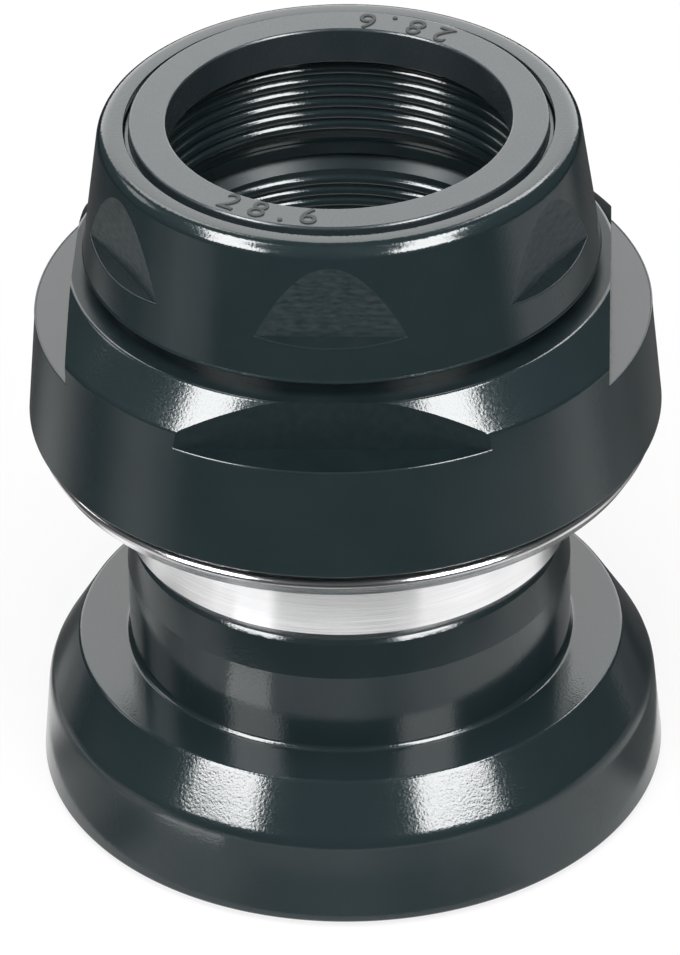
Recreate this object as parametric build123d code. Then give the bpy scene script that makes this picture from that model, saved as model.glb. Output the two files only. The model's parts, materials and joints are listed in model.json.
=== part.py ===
from build123d import *
import os
from math import sqrt

# Threaded bicycle headset for a 1 1/8 inch steerer, standing as a loose stack without head tube and fork.
# The Z axis is the steering axis, Z = 0 is the crown race's base, and one spanner flat faces -Y.

# The steerer that the headset fits, and what stands round it, in millimetres
STEERER_D = 28.6
STEERER_WALL = 1.6
CROWN_SEAT_WALL = 0.7
CUP_WALL = 2.0
LOCKNUT_WALL = 3.7
RACE_SPANNER_WALL = 2.0
BALL_CIRCLE_OFFSET = 4.3
BALL_D = 3.969

# Fits and clearances, all on the radius
THREAD_CLEARANCE = 0.05
STEM_CLEARANCE = 0.05
STEERER_CLEARANCE = 0.7
WASHER_CLEARANCE = 0.3
TRACK_CLEARANCE = 0.08
POCKET_CLEARANCE = 0.10
SEAT_CLEARANCE = 0.05
SEAL_CLEARANCE = 0.25
CAGE_CLEARANCE = 0.35

# Ball bearings, the same size above and below
BALL_COUNT = 20
TRACK_WALL = 1.25
TRACK_FLOOR = 1.0
CAGE_WIDTH = 5.6
CAGE_THICKNESS = 0.7

# Crown race
CROWN_FLOOR = 2.8
CROWN_FLANGE_STEP = 0.8
CROWN_SHOULDER = 2.0
SEAL_DEPTH = 0.8
SEAL_LIP = 0.4
FLANGE_INSET = 1.05

# Lower cup
RIM_LIFT = 0.4
RIM_WALL = 2.15
RIM_DRAFT = 0.65
RIM_HEIGHT = 6.85
RIM_FOOT_ROUNDING = 0.35
RIM_TOP_ROUNDING = 3.0
SHOULDER_WIDTH = 3.95
SHOULDER_THICKNESS = 3.47
SHOULDER_ROUNDING = 0.45
NECK_LENGTH = 9.7
NECK_ROUNDING = 0.45
NECK_LEAD = 0.55
NECK_LEAD_HEIGHT = 0.5

# Upper cup
SKIRT_LENGTH = 8.6
SKIRT_LEAD = 0.55
SKIRT_LEAD_HEIGHT = 0.95
FLANGE_THICKNESS = 2.9
FLANGE_LIP_HEIGHT = 1.45
FLANGE_LIP_INSET = 0.6
FLANGE_LIP_ROUNDING = 0.4
CONE_RECESS = 0.4
CONE_BASE = 1.2
CONE_LEDGE = 0.6

# Adjusting race
RACE_LIFT = 0.75
RACE_WALL = 1.95
RACE_DRAFT = 0.937
RACE_FOOT_ROUNDING = 0.25
RACE_EDGE_ROUNDING = 0.8
RACE_CROWN = 6.18
RACE_CONE_HEIGHT = 2.6
RACE_LAND = 1.1
RACE_TOP_ROUNDING = 0.2
RACE_FLAT_HEIGHT = 4.02
RACE_FLAT_COUNT = 4
RACE_MOUTH = 1.25
RACE_BOSS = 1.6

# Lock washer
WASHER_THICKNESS = 0.9
WASHER_INSET = 0.7
WASHER_TAB_WIDTH = 4.0
WASHER_TAB_REACH = 1.1

# Locknut
LOCKNUT_HEIGHT = 10.75
LOCKNUT_FLARE = 1.3
LOCKNUT_DRAFT = 1.52
LOCKNUT_TOP_ROUNDING = 0.85
LOCKNUT_BASE_CHAMFER = 0.3
LOCKNUT_FLAT_HEIGHT = 7.25
LOCKNUT_LEDGE_FALL = 0.55
LOCKNUT_FLAT_COUNT = 6
LOCKNUT_RELIEF = 1.1
LOCKNUT_RELIEF_DEPTH = 0.65

# Stem seal ring
RING_HEIGHT = 2.8
RING_PROUD = 0.35
RING_WALL = 3.1
RING_GROOVE = 0.35
RING_GROOVE_DEPTH = 1.0
RING_ROUNDING = 0.2

# Standard sizes that follow from the steerer
STEM_D = STEERER_D - 2 * STEERER_WALL
CROWN_SEAT_D = STEERER_D + 2 * CROWN_SEAT_WALL
HEAD_TUBE_BORE = STEERER_D + 2 * (STEERER_CLEARANCE + CUP_WALL)
LOCKNUT_SPANNER = STEERER_D + 2 * LOCKNUT_WALL
RACE_SPANNER = LOCKNUT_SPANNER + 2 * RACE_SPANNER_WALL
BALL_CIRCLE_D = STEERER_D + 2 * BALL_CIRCLE_OFFSET

# Radii that follow
neck_r = HEAD_TUBE_BORE / 2
thread_r = STEERER_D / 2 + THREAD_CLEARANCE
passage_r = STEERER_D / 2 + STEERER_CLEARANCE
ball_r = BALL_D / 2
pitch_r = BALL_CIRCLE_D / 2
groove_r = ball_r + TRACK_CLEARANCE
cavity_r = pitch_r + groove_r + TRACK_WALL + SEAT_CLEARANCE
flange_r = cavity_r - FLANGE_INSET
seal_seat_r = flange_r - SEAL_DEPTH
seal_r = cavity_r - SEAL_CLEARANCE
cone_inner_r = pitch_r - groove_r - TRACK_WALL
cone_base_r = pitch_r + CONE_LEDGE
cage_reach = (CAGE_WIDTH + CAGE_THICKNESS) / 2 / sqrt(2)
boss_r = pitch_r - cage_reach - CAGE_CLEARANCE
rim_r = cavity_r + RIM_WALL
race_r = cavity_r + RACE_WALL
flange_lip_r = race_r - FLANGE_LIP_INSET
shoulder_r = neck_r + SHOULDER_WIDTH
locknut_r = LOCKNUT_SPANNER / 2 + LOCKNUT_FLARE
race_top_r = locknut_r + RACE_LAND
ring_bore_r = STEM_D / 2 + STEM_CLEARANCE
ring_seat_r = ring_bore_r + RING_WALL

# Heights that follow, from the base up
lower_ball_z = CROWN_FLOOR + groove_r
lower_ceiling = lower_ball_z + groove_r + TRACK_FLOOR
shoulder_z = lower_ceiling + SHOULDER_THICKNESS
neck_top = shoulder_z + NECK_LENGTH
flange_bottom = neck_top + SKIRT_LENGTH
flange_lip_top = flange_bottom + FLANGE_LIP_HEIGHT
flange_top = flange_bottom + FLANGE_THICKNESS
cone_seat = flange_top - CONE_RECESS
upper_ball_z = cone_seat + CONE_BASE + groove_r
upper_ceiling = upper_ball_z + groove_r + TRACK_FLOOR
race_bottom = flange_lip_top + RACE_LIFT
race_top = upper_ceiling + RACE_CROWN
race_break = race_top - RACE_CONE_HEIGHT
washer_top = race_top + WASHER_THICKNESS
locknut_top = washer_top + LOCKNUT_HEIGHT
ring_top = locknut_top + RING_PROUD
ring_seat = ring_top - RING_HEIGHT


def section(*corners):
    """A half section in the XZ plane; a corner is (radius, height) or (radius, height, rounding)."""
    points = [corner[:2] for corner in corners]
    roundings = [corner[2] if len(corner) > 2 else 0 for corner in corners]
    return make_face(FilletPolyline(*points, radius=roundings, close=True))


def turned(half_section):
    """The solid of revolution of a half section."""
    return revolve(Plane.XZ * half_section, axis=Axis.Z)


def ball_groove(ball_z):
    """The round of the ball track in the half section."""
    return Pos(pitch_r, ball_z) * Circle(groove_r)


def flat_cutters(count, across, bottom, top, ledge_fall=0):
    """Blocks that mill spanner flats, the first facing -Y; the ledge below falls outward by ledge_fall."""
    near = across / 2
    far = near + race_r
    side = make_face(Polyline(
        (-near, bottom),
        (-near, top),
        (-far, top),
        (-far, bottom - ledge_fall * (far - near)),
        close=True,
    ))
    block = extrude(Plane.YZ * side, amount=across, both=True)
    return [Rot(0, 0, turn * 360 / count) * block for turn in range(count)]


def outer_track(ball_z):
    """The cup side of a bearing: a steel ring over the ball's outer upper quarter."""
    outer_r = cavity_r - SEAT_CLEARANCE
    top = ball_z + groove_r + TRACK_FLOOR
    blank = section((pitch_r, ball_z), (outer_r, ball_z), (outer_r, top), (pitch_r, top))
    return turned(blank - ball_groove(ball_z))


def ball_set(ball_z):
    """The balls of one bearing, each a solid of its own."""
    places = Pos(0, 0, ball_z) * PolarLocations(pitch_r, BALL_COUNT)
    return Compound(children=[place * Sphere(ball_r) for place in places])


def ball_cage(ball_z):
    """A conical strip through the ball centres, from inside above to outside below, with round pockets."""
    strip = Pos(pitch_r, ball_z) * Rot(0, 0, -45) * Rectangle(CAGE_WIDTH, CAGE_THICKNESS)
    ring = turned(strip)
    places = Pos(0, 0, ball_z) * PolarLocations(pitch_r, BALL_COUNT)
    return ring - [place * Sphere(ball_r + POCKET_CLEARANCE) for place in places]


def lip_seal(narrow_end, lip_end, lip_inner):
    """A rubber ring round a flange's boss, with a lip at one end that reaches for the wall around it."""
    return turned(section(
        (seal_seat_r, lip_end),
        (seal_r, lip_end),
        (seal_r, lip_inner),
        (flange_r, narrow_end),
        (seal_seat_r, narrow_end),
    ))


def make_crown_race():
    blank = section(
        (CROWN_SEAT_D / 2, 0),
        (flange_r, 0),
        (flange_r, CROWN_FLANGE_STEP),
        (seal_seat_r, CROWN_FLANGE_STEP),
        (seal_seat_r, CROWN_SHOULDER),
        (pitch_r, CROWN_FLOOR + groove_r / 2),
        (pitch_r, lower_ball_z),
        (CROWN_SEAT_D / 2, lower_ball_z),
    )
    return turned(blank - ball_groove(lower_ball_z))


def make_lower_cup():
    return turned(section(
        (cavity_r, RIM_LIFT),
        (rim_r, RIM_LIFT, RIM_FOOT_ROUNDING),
        (rim_r - RIM_DRAFT, RIM_LIFT + RIM_HEIGHT, RIM_TOP_ROUNDING),
        (shoulder_r, shoulder_z, SHOULDER_ROUNDING),
        (neck_r, shoulder_z, NECK_ROUNDING),
        (neck_r, neck_top - NECK_LEAD_HEIGHT),
        (neck_r - NECK_LEAD, neck_top),
        (passage_r, neck_top),
        (passage_r, lower_ceiling),
        (cavity_r, lower_ceiling),
    ))


def make_upper_cup():
    return turned(section(
        (passage_r, neck_top),
        (neck_r - SKIRT_LEAD, neck_top),
        (neck_r, neck_top + SKIRT_LEAD_HEIGHT),
        (neck_r, flange_bottom, NECK_ROUNDING),
        (flange_lip_r, flange_bottom, FLANGE_LIP_ROUNDING),
        (flange_lip_r, flange_lip_top, FLANGE_LIP_ROUNDING),
        (seal_seat_r, flange_lip_top),
        (seal_seat_r, flange_top),
        (cone_base_r + SEAT_CLEARANCE, flange_top),
        (cone_base_r + SEAT_CLEARANCE, cone_seat),
        (passage_r, cone_seat),
    ))


def make_upper_cone_track():
    blank = section(
        (cone_inner_r, cone_seat),
        (cone_base_r, cone_seat),
        (cone_base_r, cone_seat + CONE_BASE),
        (pitch_r, cone_seat + CONE_BASE),
        (pitch_r, upper_ball_z),
        (cone_inner_r, upper_ball_z),
    )
    return turned(blank - ball_groove(upper_ball_z))


def make_adjusting_race():
    body = turned(section(
        (cavity_r, race_bottom),
        (race_r, race_bottom, RACE_FOOT_ROUNDING),
        (race_r - RACE_DRAFT, race_break, RACE_EDGE_ROUNDING),
        (race_top_r, race_top, RACE_TOP_ROUNDING),
        (thread_r + RACE_MOUTH, race_top),
        (thread_r, race_top - RACE_MOUTH),
        (thread_r, upper_ceiling - RACE_BOSS),
        (boss_r, upper_ceiling - RACE_BOSS),
        (boss_r, upper_ceiling),
        (cavity_r, upper_ceiling),
    ))
    flat_bottom = race_top - RACE_FLAT_HEIGHT
    clear_top = race_top + RACE_CROWN
    return body - flat_cutters(RACE_FLAT_COUNT, RACE_SPANNER, flat_bottom, clear_top)


def make_lock_washer():
    inner_r = STEERER_D / 2 + WASHER_CLEARANCE
    outer_r = locknut_r - WASHER_INSET
    disc = turned(section(
        (inner_r, race_top),
        (outer_r, race_top),
        (outer_r, washer_top),
        (inner_r, washer_top),
    ))
    tab_end = STEERER_D / 2 - WASHER_TAB_REACH
    tab_root = (inner_r + outer_r) / 2
    tab_z = (race_top + washer_top) / 2
    tab = Box(WASHER_TAB_WIDTH, tab_root - tab_end, WASHER_THICKNESS)
    return disc + Pos(0, -(tab_root + tab_end) / 2, tab_z) * tab


def make_locknut():
    body = turned(section(
        (thread_r + LOCKNUT_RELIEF_DEPTH, washer_top),
        (locknut_r - LOCKNUT_BASE_CHAMFER, washer_top),
        (locknut_r, washer_top + LOCKNUT_BASE_CHAMFER),
        (locknut_r - LOCKNUT_DRAFT, locknut_top, LOCKNUT_TOP_ROUNDING),
        (ring_seat_r + SEAT_CLEARANCE, locknut_top),
        (ring_seat_r + SEAT_CLEARANCE, ring_seat),
        (thread_r, ring_seat),
        (thread_r, washer_top + LOCKNUT_RELIEF),
        (thread_r + LOCKNUT_RELIEF_DEPTH, washer_top + LOCKNUT_RELIEF),
    ))
    flat_bottom = locknut_top - LOCKNUT_FLAT_HEIGHT
    clear_top = locknut_top + LOCKNUT_HEIGHT
    return body - flat_cutters(
        LOCKNUT_FLAT_COUNT, LOCKNUT_SPANNER, flat_bottom, clear_top, LOCKNUT_LEDGE_FALL
    )


def make_stem_seal_ring():
    return turned(section(
        (ring_bore_r, ring_seat),
        (ring_seat_r, ring_seat),
        (ring_seat_r, ring_top - RING_GROOVE_DEPTH),
        (ring_seat_r - RING_GROOVE, ring_top - RING_GROOVE_DEPTH),
        (ring_seat_r - RING_GROOVE, ring_top, RING_ROUNDING),
        (ring_bore_r, ring_top, RING_ROUNDING),
    ))


pieces = {
    "crown_race": make_crown_race(),
    "lower_seal": lip_seal(CROWN_SHOULDER, CROWN_FLANGE_STEP, CROWN_FLANGE_STEP + SEAL_LIP),
    "lower_balls": ball_set(lower_ball_z),
    "lower_ball_cage": ball_cage(lower_ball_z),
    "lower_cup_track": outer_track(lower_ball_z),
    "lower_cup": make_lower_cup(),
    "upper_cup": make_upper_cup(),
    "upper_seal": lip_seal(flange_lip_top, flange_top, flange_top - SEAL_LIP),
    "upper_cone_track": make_upper_cone_track(),
    "upper_balls": ball_set(upper_ball_z),
    "upper_ball_cage": ball_cage(upper_ball_z),
    "adjusting_race_track": outer_track(upper_ball_z),
    "adjusting_race": make_adjusting_race(),
    "lock_washer": make_lock_washer(),
    "locknut": make_locknut(),
    "stem_seal_ring": make_stem_seal_ring(),
}

os.makedirs("parts", exist_ok=True)
for name, solid in pieces.items():
    export_step(solid, f"parts/{name}.step")
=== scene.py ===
import json
from math import acos, ceil, cos, hypot, pi, radians, sin, tan

import bmesh
import bpy
from mathutils import Matrix, Vector


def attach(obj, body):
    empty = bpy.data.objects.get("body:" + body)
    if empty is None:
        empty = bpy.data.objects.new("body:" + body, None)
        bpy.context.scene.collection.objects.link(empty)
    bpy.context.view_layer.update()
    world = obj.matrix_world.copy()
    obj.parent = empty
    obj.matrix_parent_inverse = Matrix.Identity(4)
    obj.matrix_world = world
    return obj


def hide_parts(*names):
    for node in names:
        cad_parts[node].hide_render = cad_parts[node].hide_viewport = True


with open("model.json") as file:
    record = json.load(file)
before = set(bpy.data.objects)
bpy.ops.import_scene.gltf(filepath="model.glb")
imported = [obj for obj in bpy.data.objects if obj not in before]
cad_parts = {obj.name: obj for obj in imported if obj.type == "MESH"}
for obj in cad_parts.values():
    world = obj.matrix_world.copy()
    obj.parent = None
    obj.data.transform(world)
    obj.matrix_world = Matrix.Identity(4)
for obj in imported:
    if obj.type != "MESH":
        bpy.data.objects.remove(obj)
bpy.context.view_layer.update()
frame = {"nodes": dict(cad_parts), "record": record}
nodes = frame["nodes"]
mounts = {mount["name"]: mount for mount in frame["record"]["mounts"]}

# Lengths below are millimetres, as in the part's drawing; the scene itself is in metres
MM = 0.001

# Fineness of the turned meshes, and the rounding of their plain edges
SEGMENTS = 288
ARC_STEP = radians(11)
EDGE_BREAK = 0.08

# Edges that stay crisp in the light: the least angle between their faces, in degrees
FLAT_CREASE = 40
BEAD_CREASE = 60
THREAD_CREASE = 30

# Upward part of a face's normal: above the first it is a ledge or a chamfer, above the second it is level
LEDGE_RISE = 0.3
LEVEL_RISE = 0.99

# Lower cup
SEAT_CLEARANCE = 0.05
CAGE_CLEARANCE = 0.35
RIM_WALL = 2.15
RIM_DRAFT = 0.65
RIM_HEIGHT = 6.85
RIM_FOOT_ROUNDING = 0.35
RIM_TOP_ROUNDING = 3.0
SHOULDER_WIDTH = 3.95
SHOULDER_THICKNESS = 3.47
SHOULDER_ROUNDING = 0.45
NECK_ROUNDING = 0.45
NECK_TAPER = 0.4
NECK_TAPER_HEIGHT = 3.1
NECK_LEAD = 0.6
NECK_LEAD_HEIGHT = 0.35

# Upper cup
SKIRT_LENGTH = 8.6
SKIRT_LEAD = 0.55
SKIRT_LEAD_HEIGHT = 0.95
FLANGE_LIP_HEIGHT = 1.45
FLANGE_LIP_ROUNDING = 0.35
FLANGE_FALL = 0.58
FLANGE_FALL_HEIGHT = 1.0
CONE_RECESS = 0.4

# Adjusting race
RACE_WALL = 1.95
RACE_DRAFT = 0.937
RACE_FOOT_ROUNDING = 0.25
RACE_EDGE_ROUNDING = 0.8
RACE_CONE_HEIGHT = 2.6
RACE_LAND = 1.1
RACE_TOP_ROUNDING = 0.5
RACE_MOUTH = 1.25
RACE_BOSS = 1.6
RACE_SPANNER = 40.0
RACE_FLAT_HEIGHT = 4.02
RACE_FLAT_COUNT = 4

# Locknut
LOCKNUT_DRAFT = 1.52
LOCKNUT_TOP_ROUNDING = 1.1
LOCKNUT_BASE_CHAMFER = 0.3
LOCKNUT_BASE_LIP = 0.07
LOCKNUT_LIP_ROUNDING = 1.5 * LOCKNUT_BASE_LIP
LOCKNUT_LIP_HEIGHT = 3 * LOCKNUT_BASE_LIP
LOCKNUT_RELIEF = 1.1
LOCKNUT_RELIEF_DEPTH = 0.65
LOCKNUT_SPANNER = 36.0
LOCKNUT_FLAT_HEIGHT = 7.25
LOCKNUT_LEDGE_FALL = 0.55
LOCKNUT_FLAT_COUNT = 6

# Rounded outer edges of the ledges below the flats
BEAD = 0.08
BEAD_SINK = 0.04
BEAD_SIDES = 10
BEAD_STEPS = 40
BEAD_TRIES = 6

# Stem seal ring
RING_GROOVE = 0.35
RING_GROOVE_DEPTH = 1.0
RING_ROUNDING = 0.2

# Steerer thread, 26 turns to the inch
THREAD_PITCH = 25.4 / 26
THREAD_ROOT = 0.94
THREAD_HALF_ANGLE = 30
THREAD_CREST_ROUNDING = 0.45
THREAD_FOOT_ROUNDING = 0.01
THREAD_SINK = 0.04
THREAD_STEPS = 120
THREAD_RUNOUT = 0.3

# Size number on the ring
MARK = "28.6"
MARK_HEIGHT = 2.9
MARK_SPACING = 1.6
MARK_RAISE = 0.08
MARK_ANGLES = (-19, 161)

# The photograph's camera, fitted to the edges of the turned forms
PHOTO_HEIGHT_PX = 955
FOCAL_PX = 6582.5
CAMERA_DISTANCE = 415.7
CAMERA_HEIGHT = 305.95
CAMERA_AZIMUTH = 3.0
CAMERA_DROP = 34.083
CAMERA_TURN = 0.077
CAMERA_ROLL = -1.4


def reach(node):
    """Inner radius, outer radius, bottom and top of a CAD node round the steering axis."""
    points = [vertex.co / MM for vertex in nodes[node].data.vertices]
    radii = [hypot(point.x, point.y) for point in points]
    heights = [point.z for point in points]
    return min(radii), max(radii), min(heights), max(heights)


# Radii and heights from the frame
neck_r = mounts["lower_head_tube_fit"]["dims"]["r_mm"]
thread_r = mounts["steerer_thread"]["dims"]["r_mm"]
passage_r, _, rim_bottom, neck_top = reach("lower_cup")
_, flange_lip_r, _, flange_top = reach("upper_cup")
_, _, race_bottom, race_top = reach("adjusting_race")
_, locknut_r, washer_top, locknut_top = reach("locknut")
ring_bore_r, ring_seat_r, ring_seat, ring_top = reach("stem_seal_ring")
_, lower_track_r, _, lower_ceiling = reach("lower_cup_track")
cavity_r = lower_track_r + SEAT_CLEARANCE
upper_ceiling = reach("adjusting_race_track")[3]
seal_seat_r = reach("upper_seal")[0]
cone_seat_r = reach("upper_cone_track")[1] + SEAT_CLEARANCE
boss_r = reach("upper_ball_cage")[0] - CAGE_CLEARANCE

rim_r = cavity_r + RIM_WALL
race_r = cavity_r + RACE_WALL
race_top_r = locknut_r + RACE_LAND
race_break = race_top - RACE_CONE_HEIGHT
race_thread_bottom = upper_ceiling - RACE_BOSS
race_thread_top = race_top - RACE_MOUTH
shoulder_r = neck_r + SHOULDER_WIDTH
shoulder_z = lower_ceiling + SHOULDER_THICKNESS
flange_bottom = neck_top + SKIRT_LENGTH
locknut_seat_r = ring_seat_r + SEAT_CLEARANCE
relief_r = thread_r + LOCKNUT_RELIEF_DEPTH
relief_top = washer_top + LOCKNUT_RELIEF


def rounded(section):
    """The closed outline of a half section, with an arc at each corner (radius, height, rounding)."""
    outline = []
    for index, (radius, height, rounding) in enumerate(section):
        corner = Vector((radius, height))
        back = Vector(section[index - 1][:2]) - corner
        ahead = Vector(section[(index + 1) % len(section)][:2]) - corner
        half_angle = back.angle(ahead) / 2
        back.normalize()
        ahead.normalize()
        run = rounding / tan(half_angle)
        centre = corner + (back + ahead).normalized() * rounding / sin(half_angle)
        start = corner + back * run - centre
        end = corner + ahead * run - centre
        turn = pi - 2 * half_angle
        steps = max(2, ceil(turn / ARC_STEP))
        for step in range(steps + 1):
            share = step / steps
            spoke = start * sin((1 - share) * turn) + end * sin(share * turn)
            outline.append(centre + spoke / sin(turn))
    return outline


def new_piece(name, mesh):
    piece = bpy.data.objects.new(name, mesh)
    bpy.context.scene.collection.objects.link(piece)
    return piece


def mesh_from(name, shape):
    mesh = bpy.data.meshes.new(name)
    shape.to_mesh(mesh)
    shape.free()
    return mesh


def solid_from(name, shape, material):
    """A piece from a closed shape, with its faces turned outward."""
    bmesh.ops.recalc_face_normals(shape, faces=shape.faces)
    mesh = mesh_from(name, shape)
    mesh.materials.append(material)
    return new_piece(name, mesh)


def add_band(shape, row, following):
    """A closed band of faces between two rows of corners."""
    for index in range(len(row)):
        shape.faces.new((row[index - 1], following[index - 1], following[index], row[index]))


def add_tube(shape, rows):
    """Bands from row to row, with a cap at each end."""
    for row, following in zip(rows, rows[1:]):
        add_band(shape, row, following)
    shape.faces.new(rows[0])
    shape.faces.new(reversed(rows[-1]))


def turned(name, section, material):
    """A solid of revolution round the steering axis, from corners (radius, height[, rounding])."""
    corners = [corner if len(corner) > 2 else (*corner, EDGE_BREAK) for corner in section]
    outline = rounded(corners)
    shape = bmesh.new()
    rows = []
    for segment in range(SEGMENTS):
        angle = 2 * pi * segment / SEGMENTS
        rows.append([
            shape.verts.new((point.x * cos(angle) * MM, point.x * sin(angle) * MM, point.y * MM))
            for point in outline
        ])
    for segment, row in enumerate(rows):
        add_band(shape, row, rows[(segment + 1) % SEGMENTS])
    piece = solid_from(name, shape, material)
    piece.data.shade_smooth()
    return piece


def apply_modifiers(piece):
    """Puts the result of the piece's modifiers into its mesh."""
    bpy.context.view_layer.update()
    finished = piece.evaluated_get(bpy.context.evaluated_depsgraph_get())
    mesh = bpy.data.meshes.new_from_object(finished)
    piece.modifiers.clear()
    piece.data = mesh


def even_normals(piece):
    """Keeps wide faces flat in the light, and the roundings between them smooth."""
    normals = piece.modifiers.new("even_normals", "WEIGHTED_NORMAL")
    normals.keep_sharp = True
    apply_modifiers(piece)


def flat_cutters(count, across, bottom, top, half_width, ledge_fall, material):
    """Blocks outside the spanner flats, the first facing -Y; the ledge below falls outward."""
    near = across / 2
    far = near + race_r - ring_bore_r
    side = (
        (near, bottom),
        (near, top),
        (far, top),
        (far, bottom - ledge_fall * (far - near)),
    )
    shape = bmesh.new()
    for turn in range(count):
        ends = []
        for x in (-half_width, half_width):
            ends.append([shape.verts.new((x * MM, -y * MM, z * MM)) for y, z in side])
        for end in ends:
            shape.faces.new(end)
        for index in range(len(side)):
            shape.faces.new((ends[0][index - 1], ends[0][index], ends[1][index], ends[1][index - 1]))
        corners = [vertex for end in ends for vertex in end]
        turned_to = Matrix.Rotation(2 * pi * turn / count, 3, "Z")
        bmesh.ops.rotate(shape, verts=corners, matrix=turned_to)
    return solid_from("flat_cutters", shape, material)


def mill_flats(piece, cutters, painted_ledge_shade):
    """Cuts the spanner flats, with a crisp edge round each and a ledge below, which takes painted shade: a
    darker copy of the finish.
    """
    cut = piece.modifiers.new("flats", "BOOLEAN")
    cut.operation = "DIFFERENCE"
    cut.solver = "EXACT"
    cut.material_mode = "TRANSFER"
    cut.object = cutters
    apply_modifiers(piece)
    bpy.data.objects.remove(cutters)
    shape = bmesh.new()
    shape.from_mesh(piece.data)
    for edge in shape.edges:
        cuts = {face.material_index for face in edge.link_faces}
        edge.smooth = len(cuts) == 1 and edge.calc_face_angle(0) < radians(FLAT_CREASE)
    # Upward faces cut by the flats get the darker ledge finish: painted shade
    for face in shape.faces:
        if face.material_index and face.normal.z > LEDGE_RISE:
            face.material_index = len(piece.data.materials)
    piece.data.materials.append(painted_ledge_shade)
    shape.to_mesh(piece.data)
    shape.free()


def ledge_edges(name, count, across, bottom, ledge_fall, wall_radius, material):
    """The rounded edges where the ledges below the flats meet the wall, a little proud of it."""
    near = across / 2
    half_angle = acos(near / wall_radius(bottom))
    shape = bmesh.new()
    for turn in range(count):
        rows = []
        for step in range(-BEAD_STEPS, BEAD_STEPS + 1):
            aside = half_angle * step / BEAD_STEPS
            height = bottom
            for _ in range(BEAD_TRIES):
                height = bottom - ledge_fall * (wall_radius(height) * cos(aside) - near)
            angle = 2 * pi * turn / count + aside
            row = []
            for side in range(BEAD_SIDES):
                spoke = 2 * pi * side / BEAD_SIDES
                out = wall_radius(height) + BEAD * cos(spoke) - BEAD_SINK
                up = height + BEAD * sin(spoke) - BEAD_SINK
                row.append(shape.verts.new(Vector((out * sin(angle), -out * cos(angle), up)) * MM))
            rows.append(row)
        add_tube(shape, rows)
    piece = solid_from(name, shape, material)
    piece.data.shade_smooth()
    piece.data.set_sharp_from_angle(angle=radians(BEAD_CREASE))
    return piece


def thread_ridge(name, bottom, top, material):
    """A right-handed ridge on the bore's wall, which runs out at both ends."""
    turns = (top - bottom - THREAD_ROOT) / THREAD_PITCH
    count = ceil(turns * THREAD_STEPS)
    apex = THREAD_ROOT / 2 / tan(radians(THREAD_HALF_ANGLE))
    section = rounded((
        (0, -THREAD_ROOT / 2, THREAD_FOOT_ROUNDING),
        (apex, 0, THREAD_CREST_ROUNDING),
        (0, THREAD_ROOT / 2, THREAD_FOOT_ROUNDING),
    ))
    shape = bmesh.new()
    rows = []
    for step in range(count + 1):
        turn = turns * step / count
        full = min(1, turn / THREAD_RUNOUT, (turns - turn) / THREAD_RUNOUT)
        middle = bottom + THREAD_ROOT / 2 + turn * THREAD_PITCH
        angle = 2 * pi * turn
        row = []
        for point in section:
            radius = thread_r + THREAD_SINK - point.x * full
            place = Vector((radius * cos(angle), radius * sin(angle), middle + point.y))
            row.append(shape.verts.new(place * MM))
        rows.append(row)
    add_tube(shape, rows)
    piece = solid_from(name, shape, material)
    piece.data.shade_smooth()
    piece.data.set_sharp_from_angle(angle=radians(THREAD_CREASE))
    return piece


def raised_number(name, azimuth, material):
    """A size number that stands a little proud of the ring's top, bent round the ring."""
    text = bpy.data.curves.new(name, "FONT")
    text.body = MARK
    text.size = MARK_HEIGHT * MM
    text.space_character = MARK_SPACING
    text.align_x = "CENTER"
    text.align_y = "CENTER"
    text.extrude = MARK_RAISE * MM
    flat = bpy.data.objects.new(name + "_flat", text)
    bpy.context.scene.collection.objects.link(flat)
    bpy.context.view_layer.update()
    finished = flat.evaluated_get(bpy.context.evaluated_depsgraph_get())
    mesh = bpy.data.meshes.new_from_object(finished)
    bpy.data.objects.remove(flat)
    middle_r = (ring_bore_r + ring_seat_r - RING_GROOVE) / 2 * MM
    for vertex in mesh.vertices:
        angle = radians(azimuth) + vertex.co.x / middle_r
        radius = middle_r - vertex.co.y
        height = ring_top * MM + vertex.co.z
        vertex.co = (radius * sin(angle), -radius * cos(angle), height)
    mesh.name = name
    mesh.materials.clear()
    mesh.materials.append(material)
    return new_piece(name, mesh)


# Patterns of the finishes: drift along X of lines that run round the axis, and sizes of lines and tones
NOISE_MIDDLE = (0.3, 0.7)
GLOSS_LINE_DRIFT = 0.02
GLOSS_LINE_SIZE = 0.16
BARE_LINE_DRIFT = 0.01
BARE_TONE_DRIFT = 0.05
BARE_TONE_SIZE = 1.2
BARE_ANISOTROPY = 0.75
BARE_ANISOTROPY_TURN = 0.25


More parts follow.
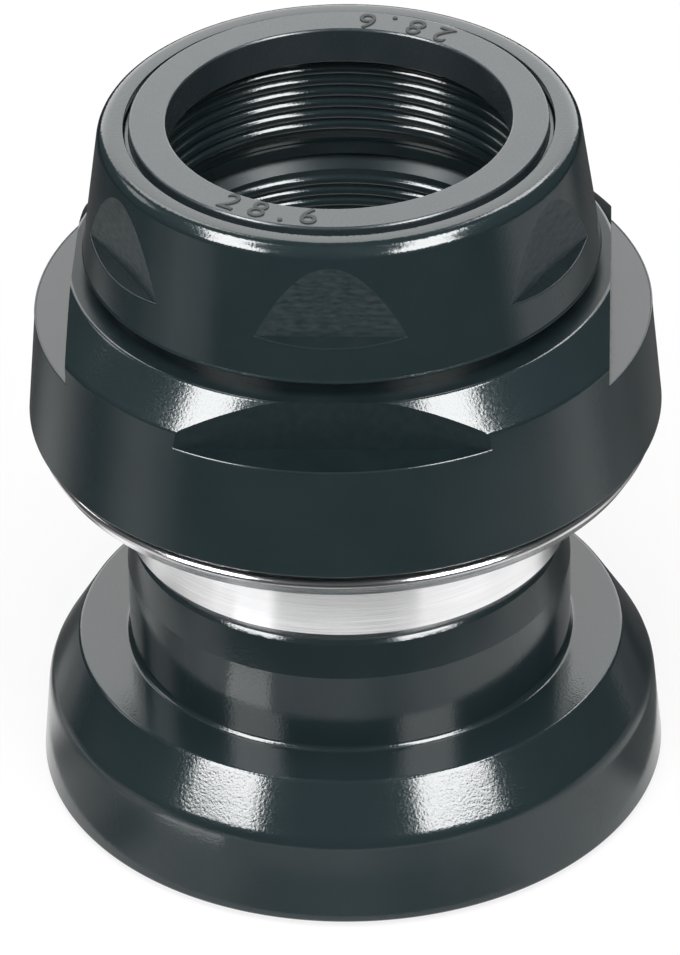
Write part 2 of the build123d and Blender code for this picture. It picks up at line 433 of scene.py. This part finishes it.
class Shader:
    """A short way to wire a material's nodes."""

    def __init__(self, name):
        self.material = bpy.data.materials.new(name)
        self.material.use_nodes = True
        self.tree = self.material.node_tree
        self.surface = self.tree.nodes["Principled BSDF"]

    def node(self, kind, inputs=(), **settings):
        made = self.tree.nodes.new(kind)
        for name, value in settings.items():
            setattr(made, name, value)
        for socket, value in dict(inputs).items():
            if isinstance(value, bpy.types.NodeSocket):
                self.tree.links.new(value, made.inputs[socket])
            else:
                made.inputs[socket].default_value = value
        return made

    def math(self, operation, *values):
        return self.node("ShaderNodeMath", dict(enumerate(values)), operation=operation).outputs[0]

    def set(self, **inputs):
        for socket, value in inputs.items():
            target = self.surface.inputs[socket.replace("_", " ")]
            if isinstance(value, bpy.types.NodeSocket):
                self.tree.links.new(value, target)
            else:
                target.default_value = value

    def length(self, x, y):
        return self.math("SQRT", self.math("ADD", self.math("MULTIPLY", x, x), self.math("MULTIPLY", y, y)))

    def place(self):
        return self.node("ShaderNodeTexCoord").outputs["Object"]

    def lathe_place(self, stretch):
        """Coordinates that stay the same round the axis, apart from a slow drift."""
        x, y, z = self.node("ShaderNodeSeparateXYZ", {0: self.place()}).outputs
        drift = self.math("MULTIPLY", x, stretch)
        return self.node("ShaderNodeCombineXYZ", {0: self.length(x, y), 1: z, 2: drift}).outputs[0]

    def noise(self, vector, size, detail=2.0):
        """Noise whose lumps are about size millimetres across."""
        inputs = {"Vector": vector, "Scale": 1 / (size * MM), "Detail": detail}
        return self.node("ShaderNodeTexNoise", inputs).outputs["Fac"]

    def spread(self, value, low, high):
        """The middle of a noise's range, taken to low and high."""
        least, most = NOISE_MIDDLE
        inputs = {"Value": value, "From Min": least, "From Max": most, "To Min": low, "To Max": high}
        return self.node("ShaderNodeMapRange", inputs).outputs["Result"]

    def blend(self, noise, tones):
        """A colour between two tones."""
        inputs = {"Factor": self.spread(noise, 0, 1), 6: (*tones[0], 1), 7: (*tones[1], 1)}
        return self.node("ShaderNodeMix", inputs, data_type="RGBA").outputs[2]

    def bump(self, height, depth, after=None):
        """Relief of depth millimetres."""
        inputs = {"Height": height, "Distance": depth * MM, "Strength": 1.0}
        if after is not None:
            inputs["Normal"] = after
        return self.node("ShaderNodeBump", inputs).outputs[0]


def black_finish(name, tones, tone_size, roughness, grain, line_depth=0.0, level=1.0, specular=0.5):
    """Black anodised metal: slate black under a clear gloss, with grain (size, depth) and turning lines.

    A level under one draws the grain out level, as a milling cutter leaves it.
    """
    shader = Shader(name)
    inputs = {0: shader.place(), 1: (level, level, 1)}
    place = shader.node("ShaderNodeVectorMath", inputs, operation="MULTIPLY").outputs[0]
    tone = shader.noise(place, tone_size, 3.0)
    grain_size, grain_depth = grain
    lumps = shader.noise(place, grain_size, 1.0)
    lines = shader.noise(shader.lathe_place(GLOSS_LINE_DRIFT), GLOSS_LINE_SIZE, 2.0)
    shader.set(
        Base_Color=shader.blend(tone, tones),
        Roughness=shader.spread(lumps, *roughness),
        Specular_IOR_Level=specular,
        Normal=shader.bump(lumps, grain_depth, shader.bump(lines, line_depth)),
    )
    return shader.material


def bare_metal(name, tones, roughness, line_size, line_depth):
    """Bare turned metal with fine lathe lines round the axis."""
    shader = Shader(name)
    lines = shader.noise(shader.lathe_place(BARE_LINE_DRIFT), line_size, 3.0)
    tone = shader.noise(shader.lathe_place(BARE_TONE_DRIFT), BARE_TONE_SIZE, 2.0)
    shader.set(
        Metallic=1.0,
        Base_Color=shader.blend(tone, tones),
        Roughness=shader.spread(lines, *roughness),
        Anisotropic=BARE_ANISOTROPY,
        Anisotropic_Rotation=BARE_ANISOTROPY_TURN,
        Tangent=shader.node("ShaderNodeTangent", direction_type="RADIAL", axis="Z").outputs[0],
        Normal=shader.bump(lines, line_depth),
    )
    return shader.material


def satin_black(name, tones, tone_size, roughness, grain_size, grain_depth):
    """Satin black with a fine even grain."""
    shader = Shader(name)
    tone = shader.noise(shader.place(), tone_size, 3.0)
    grain = shader.noise(shader.place(), grain_size, 1.0)
    shader.set(
        Base_Color=shader.blend(tone, tones),
        Roughness=shader.spread(grain, *roughness),
        Normal=shader.bump(grain, grain_depth),
    )
    return shader.material


def soft_rubber(name, tones, lump_size, roughness, lump_depth):
    """Matt rubber, lumpy all over."""
    shader = Shader(name)
    lumps = shader.noise(shader.place(), lump_size, 4.0)
    shader.set(
        Base_Color=shader.blend(lumps, tones),
        Roughness=shader.spread(lumps, *roughness),
        Normal=shader.bump(lumps, lump_depth),
    )
    return shader.material


# Tones darker than the black's, for painted shade on the ledges, the race's land and its thread mouth
PAINTED_SHADE_TONES = ((0.009, 0.017, 0.020), (0.013, 0.023, 0.026))

black_alloy = black_finish(
    "black_alloy", ((0.017, 0.030, 0.034), (0.021, 0.035, 0.039)), tone_size=6.0, roughness=(0.10, 0.16),
    grain=(0.20, 0.0080), line_depth=0.0010,
)
milled_alloy = black_finish(
    "milled_alloy", ((0.012, 0.026, 0.030), (0.036, 0.056, 0.062)), tone_size=0.30, roughness=(0.30, 0.42),
    grain=(0.26, 0.0130), level=0.35,
)
flat_alloy = black_finish(
    "flat_alloy", ((0.014, 0.026, 0.029), (0.019, 0.032, 0.036)), tone_size=0.60, roughness=(0.16, 0.26),
    grain=(0.20, 0.0010),
)
# Darker copy of the black for the ledges below the flats: painted shade
ledge_painted_shade = black_finish(
    "ledge_painted_shade", PAINTED_SHADE_TONES, tone_size=2.0, roughness=(0.10, 0.16), grain=(0.20, 0.0040)
)
# Darker, duller copy of the black for the race's land and thread mouth: painted shade
land_painted_shade = black_finish(
    "land_painted_shade", PAINTED_SHADE_TONES, tone_size=2.0, roughness=(0.28, 0.36), grain=(0.14, 0.0020),
    line_depth=0.0010, specular=0.2,
)
washer_steel = black_finish(
    "washer_steel", ((0.010, 0.019, 0.022), (0.015, 0.026, 0.029)), tone_size=2.0, roughness=(0.14, 0.24),
    grain=(0.09, 0.0010), line_depth=0.0010,
)
number_paint = black_finish(
    "number_paint", ((0.010, 0.014, 0.015), (0.016, 0.020, 0.021)), tone_size=1.0, roughness=(0.60, 0.75),
    grain=(0.09, 0.0040),
)
bare_alloy = bare_metal(
    "bare_alloy", ((0.88, 0.88, 0.89), (0.95, 0.95, 0.96)), (0.11, 0.22), line_size=0.07, line_depth=0.0020
)
track_steel = bare_metal(
    "track_steel", ((0.50, 0.50, 0.51), (0.60, 0.60, 0.61)), (0.18, 0.30), line_size=0.05, line_depth=0.0010
)
ball_steel = bare_metal(
    "ball_steel", ((0.70, 0.70, 0.71), (0.76, 0.76, 0.77)), (0.04, 0.09), line_size=0.30, line_depth=0.0001
)
cage_steel = bare_metal(
    "cage_steel", ((0.42, 0.38, 0.31), (0.52, 0.47, 0.40)), (0.28, 0.42), line_size=0.12, line_depth=0.0015
)
black_ring = satin_black(
    "black_ring", ((0.032, 0.045, 0.051), (0.040, 0.053, 0.059)), tone_size=3.0, roughness=(0.20, 0.28),
    grain_size=0.11, grain_depth=0.0020,
)
seal_rubber = soft_rubber(
    "seal_rubber", ((0.018, 0.018, 0.019), (0.03, 0.03, 0.031)), lump_size=0.5, roughness=(0.5, 0.65),
    lump_depth=0.004,
)

# Finishes of the CAD nodes that show as they are
node_finishes = {
    "lock_washer": washer_steel,
    "crown_race": track_steel,
    "lower_cup_track": track_steel,
    "upper_cone_track": track_steel,
    "adjusting_race_track": track_steel,
    "upper_balls": ball_steel,
    "lower_balls": ball_steel,
    "upper_ball_cage": cage_steel,
    "lower_ball_cage": cage_steel,
    "upper_seal": seal_rubber,
    "lower_seal": seal_rubber,
}
for node, finish in node_finishes.items():
    nodes[node].material_slots[0].material = finish


def dress(piece, body, replaced=None):
    """Ties a piece to its body, and hides the CAD node that it stands for."""
    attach(piece, body)
    if replaced:
        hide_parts(replaced)


def make_lower_cup():
    cup = turned("lower_cup_turned", (
        (cavity_r, rim_bottom),
        (rim_r, rim_bottom, RIM_FOOT_ROUNDING),
        (rim_r - RIM_DRAFT, rim_bottom + RIM_HEIGHT, RIM_TOP_ROUNDING),
        (shoulder_r, shoulder_z, SHOULDER_ROUNDING),
        (neck_r, shoulder_z, NECK_ROUNDING),
        (neck_r, neck_top - NECK_TAPER_HEIGHT),
        (neck_r - NECK_TAPER, neck_top - NECK_LEAD_HEIGHT),
        (neck_r - NECK_LEAD, neck_top),
        (passage_r, neck_top),
        (passage_r, lower_ceiling),
        (cavity_r, lower_ceiling),
    ), black_alloy)
    even_normals(cup)
    dress(cup, "cups", "lower_cup")


def make_upper_cup():
    cup = turned("upper_cup_turned", (
        (passage_r, neck_top),
        (neck_r - SKIRT_LEAD, neck_top),
        (neck_r, neck_top + SKIRT_LEAD_HEIGHT),
        (neck_r, flange_bottom, NECK_ROUNDING),
        (flange_lip_r - FLANGE_FALL, flange_bottom),
        (flange_lip_r, flange_bottom + FLANGE_FALL_HEIGHT),
        (flange_lip_r, flange_bottom + FLANGE_LIP_HEIGHT, FLANGE_LIP_ROUNDING),
        (seal_seat_r, flange_bottom + FLANGE_LIP_HEIGHT),
        (seal_seat_r, flange_top),
        (cone_seat_r, flange_top),
        (cone_seat_r, flange_top - CONE_RECESS),
        (passage_r, flange_top - CONE_RECESS),
    ), bare_alloy)
    even_normals(cup)
    dress(cup, "cups", "upper_cup")


def make_adjusting_race():
    race = turned("adjusting_race_turned", (
        (cavity_r, race_bottom),
        (race_r, race_bottom, RACE_FOOT_ROUNDING),
        (race_r - RACE_DRAFT, race_break, RACE_EDGE_ROUNDING),
        (race_top_r, race_top, RACE_TOP_ROUNDING),
        (thread_r + RACE_MOUTH, race_top),
        (thread_r, race_thread_top),
        (thread_r, race_thread_bottom),
        (boss_r, race_thread_bottom),
        (boss_r, upper_ceiling),
        (cavity_r, upper_ceiling),
    ), black_alloy)
    bottom = race_top - RACE_FLAT_HEIGHT
    half_width = RACE_SPANNER / 2 * tan(acos(RACE_SPANNER / 2 / race_r)) + EDGE_BREAK
    cutters = flat_cutters(
        RACE_FLAT_COUNT, RACE_SPANNER, bottom, locknut_top, half_width, 0, flat_alloy
    )
    mill_flats(race, cutters, ledge_painted_shade)
    # Painted shade: the race's land round the locknut's foot and its thread mouth get a darker, duller copy
    # of the black
    race.data.materials.append(land_painted_shade)
    for face in race.data.polygons:
        rise = face.normal.z
        land = rise > LEVEL_RISE and face.center.z > (race_top - EDGE_BREAK) * MM
        mouth = LEDGE_RISE < rise < LEVEL_RISE and face.center.xy.length < (thread_r + RACE_MOUTH) * MM
        if land or mouth:
            face.material_index = len(race.data.materials) - 1
    even_normals(race)
    dress(race, "upper_race", "adjusting_race")

    def wall_radius(height):
        return race_r - RACE_DRAFT * (height - race_bottom) / (race_break - race_bottom)

    edges = ledge_edges(
        "adjusting_race_edges", RACE_FLAT_COUNT, RACE_SPANNER, bottom, 0, wall_radius, black_alloy
    )
    dress(edges, "upper_race")
    thread = thread_ridge("adjusting_race_thread", race_thread_bottom, race_thread_top, black_alloy)
    dress(thread, "upper_race")


def make_locknut():
    base_top = washer_top + LOCKNUT_BASE_CHAMFER
    lip_top = base_top + LOCKNUT_LIP_HEIGHT

    def wall_radius(height):
        return locknut_r - LOCKNUT_DRAFT * (height - base_top) / (locknut_top - base_top)

    nut = turned("locknut_turned", (
        (relief_r, washer_top),
        (locknut_r - LOCKNUT_BASE_CHAMFER, washer_top),
        (locknut_r + LOCKNUT_BASE_LIP, base_top, LOCKNUT_LIP_ROUNDING),
        (wall_radius(lip_top), lip_top, LOCKNUT_BASE_LIP),
        (locknut_r - LOCKNUT_DRAFT, locknut_top, LOCKNUT_TOP_ROUNDING),
        (locknut_seat_r, locknut_top),
        (locknut_seat_r, ring_seat),
        (thread_r, ring_seat),
        (thread_r, relief_top),
        (relief_r, relief_top),
    ), black_alloy)
    bottom = locknut_top - LOCKNUT_FLAT_HEIGHT
    half_width = LOCKNUT_SPANNER / 2 * tan(acos(LOCKNUT_SPANNER / 2 / locknut_r)) + EDGE_BREAK
    cutters = flat_cutters(
        LOCKNUT_FLAT_COUNT, LOCKNUT_SPANNER, bottom, ring_top, half_width, LOCKNUT_LEDGE_FALL, milled_alloy
    )
    mill_flats(nut, cutters, ledge_painted_shade)
    even_normals(nut)
    dress(nut, "upper_race", "locknut")
    edges = ledge_edges(
        "locknut_edges", LOCKNUT_FLAT_COUNT, LOCKNUT_SPANNER, bottom, LOCKNUT_LEDGE_FALL, wall_radius,
        black_alloy,
    )
    dress(edges, "upper_race")
    thread = thread_ridge("locknut_thread", relief_top, ring_seat, black_alloy)
    dress(thread, "upper_race")


def make_stem_seal_ring():
    ring = turned("stem_seal_ring_turned", (
        (ring_bore_r, ring_seat),
        (ring_seat_r, ring_seat),
        (ring_seat_r, ring_top - RING_GROOVE_DEPTH),
        (ring_seat_r - RING_GROOVE, ring_top - RING_GROOVE_DEPTH),
        (ring_seat_r - RING_GROOVE, ring_top, RING_ROUNDING),
        (ring_bore_r, ring_top, RING_ROUNDING),
    ), black_ring)
    even_normals(ring)
    dress(ring, "upper_race", "stem_seal_ring")
    for index, azimuth in enumerate(MARK_ANGLES):
        mark = raised_number(f"ring_size_number_{index + 1}", azimuth, number_paint)
        dress(mark, "upper_race")


make_lower_cup()
make_upper_cup()
make_adjusting_race()
make_locknut()
make_stem_seal_ring()


def add_camera():
    data = bpy.data.cameras.new("photo_camera")
    data.sensor_fit = "VERTICAL"
    data.lens = FOCAL_PX / PHOTO_HEIGHT_PX * data.sensor_height
    camera = bpy.data.objects.new("photo_camera", data)
    bpy.context.scene.collection.objects.link(camera)
    swing = Matrix.Rotation(radians(CAMERA_AZIMUTH), 4, "Z")
    stand = Matrix.Translation(Vector((0, -CAMERA_DISTANCE, CAMERA_HEIGHT)) * MM)
    turn = Matrix.Rotation(radians(CAMERA_TURN), 4, "Z")
    drop = Matrix.Rotation(radians(90 - CAMERA_DROP), 4, "X")
    roll = Matrix.Rotation(radians(CAMERA_ROLL), 4, "Z")
    camera.matrix_world = swing @ stand @ turn @ drop @ roll
    bpy.context.scene.camera = camera


# Studio: the lamps' and cards' places and sizes are metres
LIGHT_TARGET = Vector((0, 0, 0.028))
STRIP_DISTANCE = 0.5


def towards(azimuth, elevation):
    """The direction at that azimuth from -Y and elevation, in degrees."""
    round_z, up = radians(azimuth), radians(elevation)
    return Vector((sin(round_z) * cos(up), -cos(round_z) * cos(up), sin(up)))


def softbox(name, azimuth, elevation, distance, width, height, radiance):
    """A rectangular lamp that faces the object from there."""
    data = bpy.data.lights.new(name, "AREA")
    data.shape = "RECTANGLE"
    data.size = width
    data.size_y = height
    data.energy = radiance * pi * width * height
    lamp = bpy.data.objects.new(name, data)
    bpy.context.scene.collection.objects.link(lamp)
    away = towards(azimuth, elevation)
    place = LIGHT_TARGET + away * distance
    lamp.matrix_world = Matrix.LocRotScale(place, away.to_track_quat("Z", "Y"), None)
    lamp.visible_camera = False
    return lamp


def gloss_only(card):
    """Makes a card that only reflections see."""
    card.visible_camera = False
    card.visible_diffuse = False
    card.visible_transmission = False
    card.visible_volume_scatter = False
    card.visible_shadow = False


def strip_card(name, stations, radiance):
    """A long glowing card for the gloss alone, through (azimuth, elevation, width) stations."""
    middles = [LIGHT_TARGET + towards(*station[:2]) * STRIP_DISTANCE for station in stations]
    shape = bmesh.new()
    pairs = []
    for index, (azimuth, elevation, width) in enumerate(stations):
        along = middles[min(index + 1, len(middles) - 1)] - middles[max(index - 1, 0)]
        across = along.cross(towards(azimuth, elevation)).normalized() * width / 2
        pairs.append([shape.verts.new(middles[index] + side) for side in (-across, across)])
    for (a, b), (c, d) in zip(pairs, pairs[1:]):
        shape.faces.new((a, b, d, c))
    mesh = mesh_from(name, shape)
    glow = Shader(name)
    glow.set(Base_Color=(0, 0, 0, 1), Emission_Color=(1, 1, 1, 1), Emission_Strength=radiance)
    mesh.materials.append(glow.material)
    gloss_only(new_piece(name, mesh))


AMBIENT = 0.08
FLOOR_SIZE = 6
FLOOR_COLOUR = (0.9, 0.9, 0.9, 1)
FLOOR_SHADE = 0.25
FLOOR_WHITE = 1.08


def add_world():
    world = bpy.data.worlds.new("studio")
    world.use_nodes = True
    background = world.node_tree.nodes["Background"]
    background.inputs["Color"].default_value = (1, 1, 1, 1)
    background.inputs["Strength"].default_value = AMBIENT
    bpy.context.scene.world = world


def add_floor():
    """A plain pale floor that shows white and keeps part of the object's shadow."""
    bpy.ops.mesh.primitive_plane_add(size=FLOOR_SIZE)
    floor = bpy.context.active_object
    floor.name = "floor"
    paint = Shader("floor")
    paint.set(Base_Color=FLOOR_COLOUR, Roughness=1.0, Specular_IOR_Level=0.0)
    rays = paint.node("ShaderNodeLightPath").outputs
    seen = paint.math("MAXIMUM", rays["Is Camera Ray"], rays["Is Glossy Ray"])
    seen = paint.math("MAXIMUM", seen, rays["Is Transmission Ray"])
    share = paint.math("MULTIPLY", seen, 1 - FLOOR_SHADE)
    white = paint.node("ShaderNodeEmission", {"Strength": FLOOR_WHITE}).outputs[0]
    mix = paint.node("ShaderNodeMixShader", {0: share, 1: paint.surface.outputs[0], 2: white})
    paint.tree.links.new(mix.outputs[0], paint.tree.nodes["Material Output"].inputs["Surface"])
    floor.data.materials.append(paint.material)


# Card close over the floor that only the gloss sees, in millimetres: painted shade on the floor as
# reflections show it, painted shadow near the rim included. In rings from the rim outward it lets a share
# of the floor's white through, by degrees from the front towards +X. FLAG_STEPS are the radii at which
# one ring gives way to the next, and FLAG_END those at which the floor goes dark.
FLAG_LIFT = 0.3
FLAG_INNER = 25.5
FLAG_OUTER = 2900
FLAG_SEGMENTS = 96
FLAG_RIM = (
    (-180, 0.1), (-124, 0.3), (-106, 1.0), (-95, 1.0), (-82, 0.3), (-72, 0.45), (-64, 0.42), (-54, 0.25),
    (-42, 0.7), (-28, 0.7), (-14, 0.32), (0, 0.38), (14, 0.28), (28, 0.45), (42, 0.95), (57, 0.95),
    (70, 0.8), (80, 0.2), (100, 0.15), (180, 0.1),
)
FLAG_NEAR = (
    (-180, 0.1), (-124, 0.12), (-112, 0.15), (-98, 0.6), (-82, 0.3), (-70, 0.45), (-58, 0.7), (-40, 0.75),
    (-20, 0.65), (0, 0.7), (17, 0.45), (36, 0.85), (50, 1.0), (94, 1.0), (106, 0.3), (116, 0.1), (180, 0.1),
)
FLAG_SKIRT = (
    (-180, 0.1), (-128, 0.2), (-112, 0.75), (-88, 0.9), (-56, 1.0), (84, 1.0), (98, 0.75), (112, 0.15),
    (122, 0.05), (180, 0.05),
)
FLAG_MIDDLE = (
    (-180, 0.1), (-128, 0.2), (-112, 0.75), (-88, 0.7), (-72, 0.55), (-62, 0.6), (-56, 1.0), (-33, 1.0),
    (-26, 0.42), (29, 0.42), (36, 0.95), (62, 1.0), (72, 0.75), (84, 0.75), (98, 0.7), (112, 0.15),
    (122, 0.05), (180, 0.05),
)
FLAG_FAR = (
    (-180, 0.1), (-135, 0.1), (-110, 0.5), (-86, 0.08), (-66, 0.65), (-46, 0.06), (20, 0.06), (40, 0.22),
    (60, 0.38), (84, 0.8), (102, 0.32), (118, 0.18), (180, 0.05),
)
FLAG_DISTANT = (
    (-180, 0.05), (-92, 0.08), (-80, 0.3), (-68, 0.6), (-58, 0.5), (-48, 0.05), (70, 0.05), (84, 0.75),
    (100, 0.65), (118, 0.45), (134, 0.08), (180, 0.05),
)
FLAG_PLANS = (FLAG_NEAR, FLAG_SKIRT, FLAG_MIDDLE, FLAG_FAR, FLAG_DISTANT)
FLAG_STEPS = ((31, 35), (44, 46), (49, 50.5), (56, 61), (105, 120))
FLAG_END = (190, 260)


def add_painted_floor_shade():
    """Paints shade over the floor in reflections alone, ring by ring."""
    shape = bmesh.new()
    bmesh.ops.create_circle(shape, segments=FLAG_SEGMENTS, radius=FLAG_INNER * MM)
    bmesh.ops.create_circle(shape, segments=FLAG_SEGMENTS, radius=FLAG_OUTER * MM)
    bmesh.ops.bridge_loops(shape, edges=shape.edges)
    mesh = mesh_from("painted_floor_shade", shape)
    shade_card = new_piece("painted_floor_shade", mesh)
    shade_card.location.z = FLAG_LIFT * MM
    card = Shader("painted_floor_shade")
    x, y, _ = card.node("ShaderNodeSeparateXYZ", {0: card.place()}).outputs
    out = card.length(x, y)
    around = card.math("ARCTAN2", x, card.math("MULTIPLY", y, -1.0))
    share = card.math("ADD", card.math("DIVIDE", around, 2 * pi), 0.5)

    def step(radii, low=0.0, high=1.0):
        start, end = (radius * MM for radius in radii)
        inputs = {"Value": out, "From Min": start, "From Max": end, "To Min": low, "To Max": high}
        return card.node("ShaderNodeMapRange", inputs, interpolation_type="SMOOTHSTEP").outputs["Result"]

    def light_plan(levels):
        node = card.node("ShaderNodeValToRGB", {0: share})
        node.color_ramp.interpolation = "EASE"
        marks = node.color_ramp.elements
        for azimuth, _ in levels[1:-1]:
            marks.new(azimuth / 360 + 0.5)
        for mark, (_, level) in zip(marks, levels):
            mark.color = (level, level, level, 1)
        return node.outputs["Color"]

    lit = light_plan(FLAG_RIM)
    for radii, levels in zip(FLAG_STEPS, FLAG_PLANS):
        lit = card.node("ShaderNodeMix", {"Factor": step(radii), 2: lit, 3: light_plan(levels)}).outputs[0]
    lit = card.math("MULTIPLY", lit, step(FLAG_END, 1.0, 0.0))
    cover = card.math("SUBTRACT", 1.0, lit)
    card.set(Base_Color=(0, 0, 0, 1), Roughness=1.0, Specular_IOR_Level=0.0, Alpha=cover)
    mesh.materials.append(card.material)
    gloss_only(shade_card)


def floor_streak(name, azimuth, distance, width, length, radiance):
    """A patch of lit floor that the gloss sees, as an upward lamp close over it."""
    lamp = softbox(name, azimuth, 0, distance, width, length, radiance)
    turn = Matrix.Rotation(radians(azimuth), 4, "Z") @ Matrix.Rotation(pi, 4, "X")
    place = towards(azimuth, 0) * distance
    place.z = 2 * FLAG_LIFT * MM
    lamp.matrix_world = Matrix.Translation(place) @ turn
    lamp.visible_diffuse = False


# Glowing strips for the gloss: (azimuth, elevation, width) stations along each, and the radiance
STRIPS = {
    "left_strip": (((-46, 16, 0.23), (-47, 30, 0.21), (-58, 46, 0.13), (-100, 68, 0.12)), 22),
    "right_strip": (((41, 17, 0.25), (41, 31, 0.22), (50, 49, 0.14), (94, 70, 0.13)), 22),
    "low_left": (((-103, 33, 0.10), (-125, 38, 0.10)), 3.5),
    "rear_left": (((-143, 44, 0.10), (-166, 52, 0.10)), 5),
    "rear_right": (((143, 44, 0.10), (166, 52, 0.10)), 9),
}


def add_lights():
    for name, (stations, radiance) in STRIPS.items():
        strip_card(name, stations, radiance)
    floor_streak("left_streak", azimuth=-40, distance=0.0375, width=0.012, length=0.008, radiance=2.0)
    back = softbox("back", azimuth=180, elevation=24, distance=0.8, width=1.16, height=0.60, radiance=2.9)
    back.visible_diffuse = False
    ceiling = softbox("ceiling", azimuth=0, elevation=64, distance=1.2, width=1.4, height=1.4, radiance=3.3)
    ceiling.visible_glossy = False


add_camera()
add_world()
add_floor()
add_painted_floor_shade()
add_lights()
bpy.context.scene.view_settings.view_transform = "Standard"
